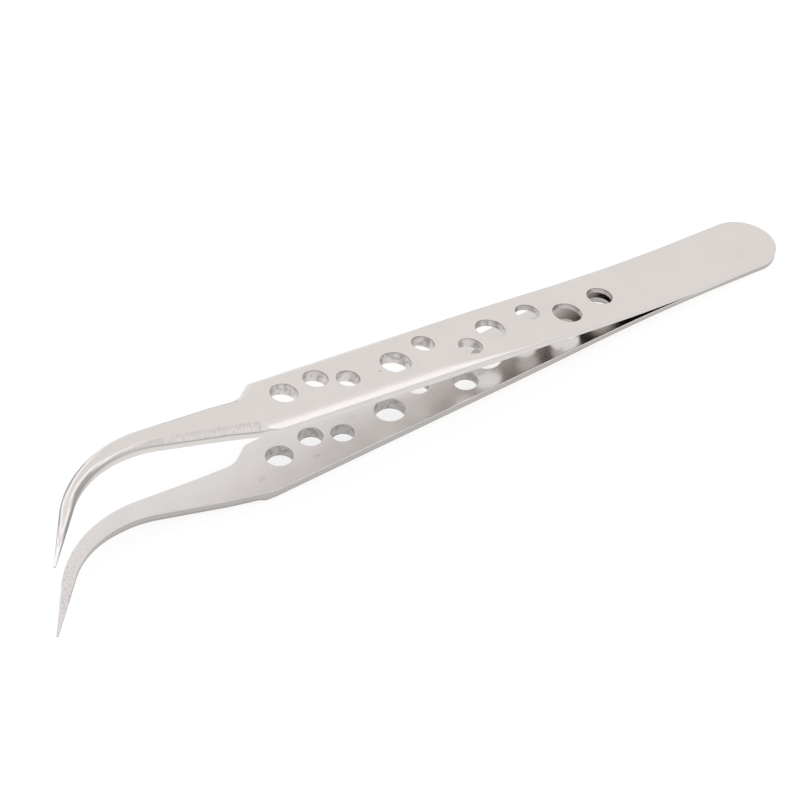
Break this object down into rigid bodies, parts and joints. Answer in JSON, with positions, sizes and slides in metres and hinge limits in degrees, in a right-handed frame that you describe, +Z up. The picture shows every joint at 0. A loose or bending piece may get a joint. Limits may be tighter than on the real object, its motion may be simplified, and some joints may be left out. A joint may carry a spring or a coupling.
{
  "type": "curved tweezers",
  "caption": "Spring tweezers of two welded steel leaves with round vent holes, a round heel, shouldered necks and fine points that curve to one side.",
  "frame": {"origin": "under the middle of the pair's box, on the surface that the lower leaf lies on", "axes": "+Z up; +X along the length towards the welded heel, with the points at -X; the points curve towards -Y"},
  "size_m": [0.1202, 0.016, 0.0151],
  "materials": {
    "ground_steel": "satin ground stainless steel, with brighter inner faces"
  },
  "bodies": {
    "root": {"upper_leaf": "ground_steel", "lower_leaf": "ground_steel"}
  },
  "joints": []
}
